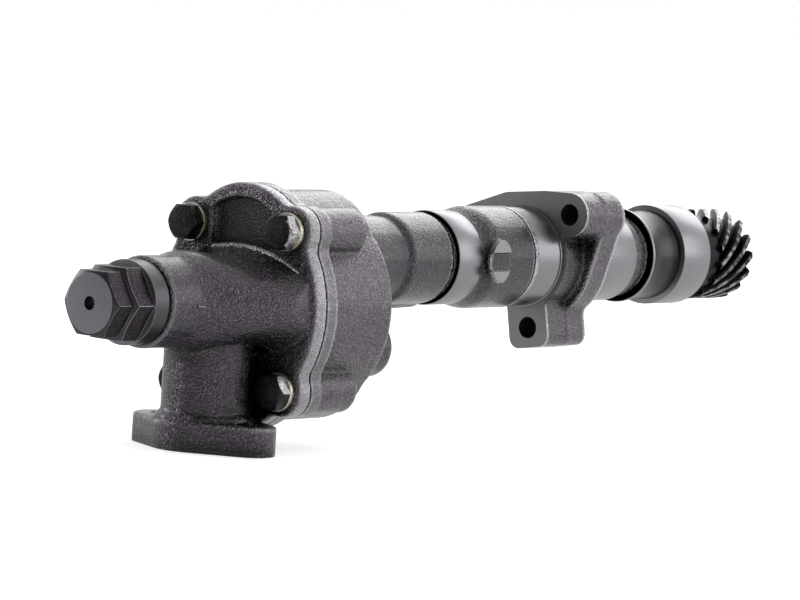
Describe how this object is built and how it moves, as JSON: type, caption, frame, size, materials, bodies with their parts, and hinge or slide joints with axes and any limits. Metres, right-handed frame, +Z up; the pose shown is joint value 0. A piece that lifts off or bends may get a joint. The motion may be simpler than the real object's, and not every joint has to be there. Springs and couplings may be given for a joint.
{
  "type": "engine oil pump",
  "caption": "Long-neck gear oil pump with flanged cast housing, helical drive gear, relief valve and suction elbow.",
  "frame": {"origin": "centre of the drive shaft at the mounting flange's seating face", "axes": "+X along the drive shaft from the cover to the helical gear, +Z up and away from the suction flange"},
  "size_m": [0.4071, 0.0784, 0.1014],
  "materials": {
    "cast_housing": "rough sand casting with ground bands",
    "cast_cover": "rough sand casting",
    "ground_steel": "ground",
    "gear_steel": "machined",
    "blackened_gear": "blackened",
    "bearing_bronze": "machined bronze",
    "black_bolt": "blackened",
    "zinc_washer": "yellow zinc plate",
    "plug_steel": "satin dark steel",
    "spring_steel": "drawn wire",
    "fibre_seal": "dark fibre"
  },
  "bodies": {
    "pump_body": {"pump_housing": "cast_housing", "suction_cover": "cast_cover", "idler_pin": "ground_steel", "lower_shaft_bush": "bearing_bronze", "upper_shaft_bush": "bearing_bronze", "thrust_washer": "bearing_bronze", "cover_bolts": "black_bolt", "spring_washers": "zinc_washer", "cover_dowels": "ground_steel", "relief_valve_body": "plug_steel", "relief_valve_cap": "plug_steel", "relief_body_seal": "fibre_seal", "relief_cap_seal": "fibre_seal", "relief_spring_shim": "gear_steel", "relief_spring": "spring_steel"},
    "drive_line": {"drive_shaft": "ground_steel", "driving_gear": "gear_steel", "driving_gear_key": "gear_steel", "helical_drive_gear": "blackened_gear", "helical_gear_pin": "gear_steel"},
    "idler": {"driven_gear": "gear_steel", "driven_gear_bush": "bearing_bronze"},
    "relief_valve": {"relief_piston": "gear_steel"}
  },
  "joints": [
    {"name": "drive_shaft_spin", "type": "hinge", "parent": "pump_body", "child": "drive_line", "pos_m": [0, 0, 0], "axis": [1, 0, 0], "continuous": true},
    {"name": "idler_spin", "type": "hinge", "parent": "pump_body", "child": "idler", "pos_m": [-0.182, 0, -0.035], "axis": [1, 0, 0], "continuous": true},
    {"name": "relief_piston_slide", "type": "slide", "parent": "pump_body", "child": "relief_valve", "axis": [-1, 0, 0], "range_m": [0, 0.007], "stiffness_N_per_m": 5000, "springref_m": -0.01, "deforming": ["relief_spring"]}
  ],
  "couplings": [
    {"joint": "idler_spin", "follows": "drive_shaft_spin", "ratio": -1}
  ]
}
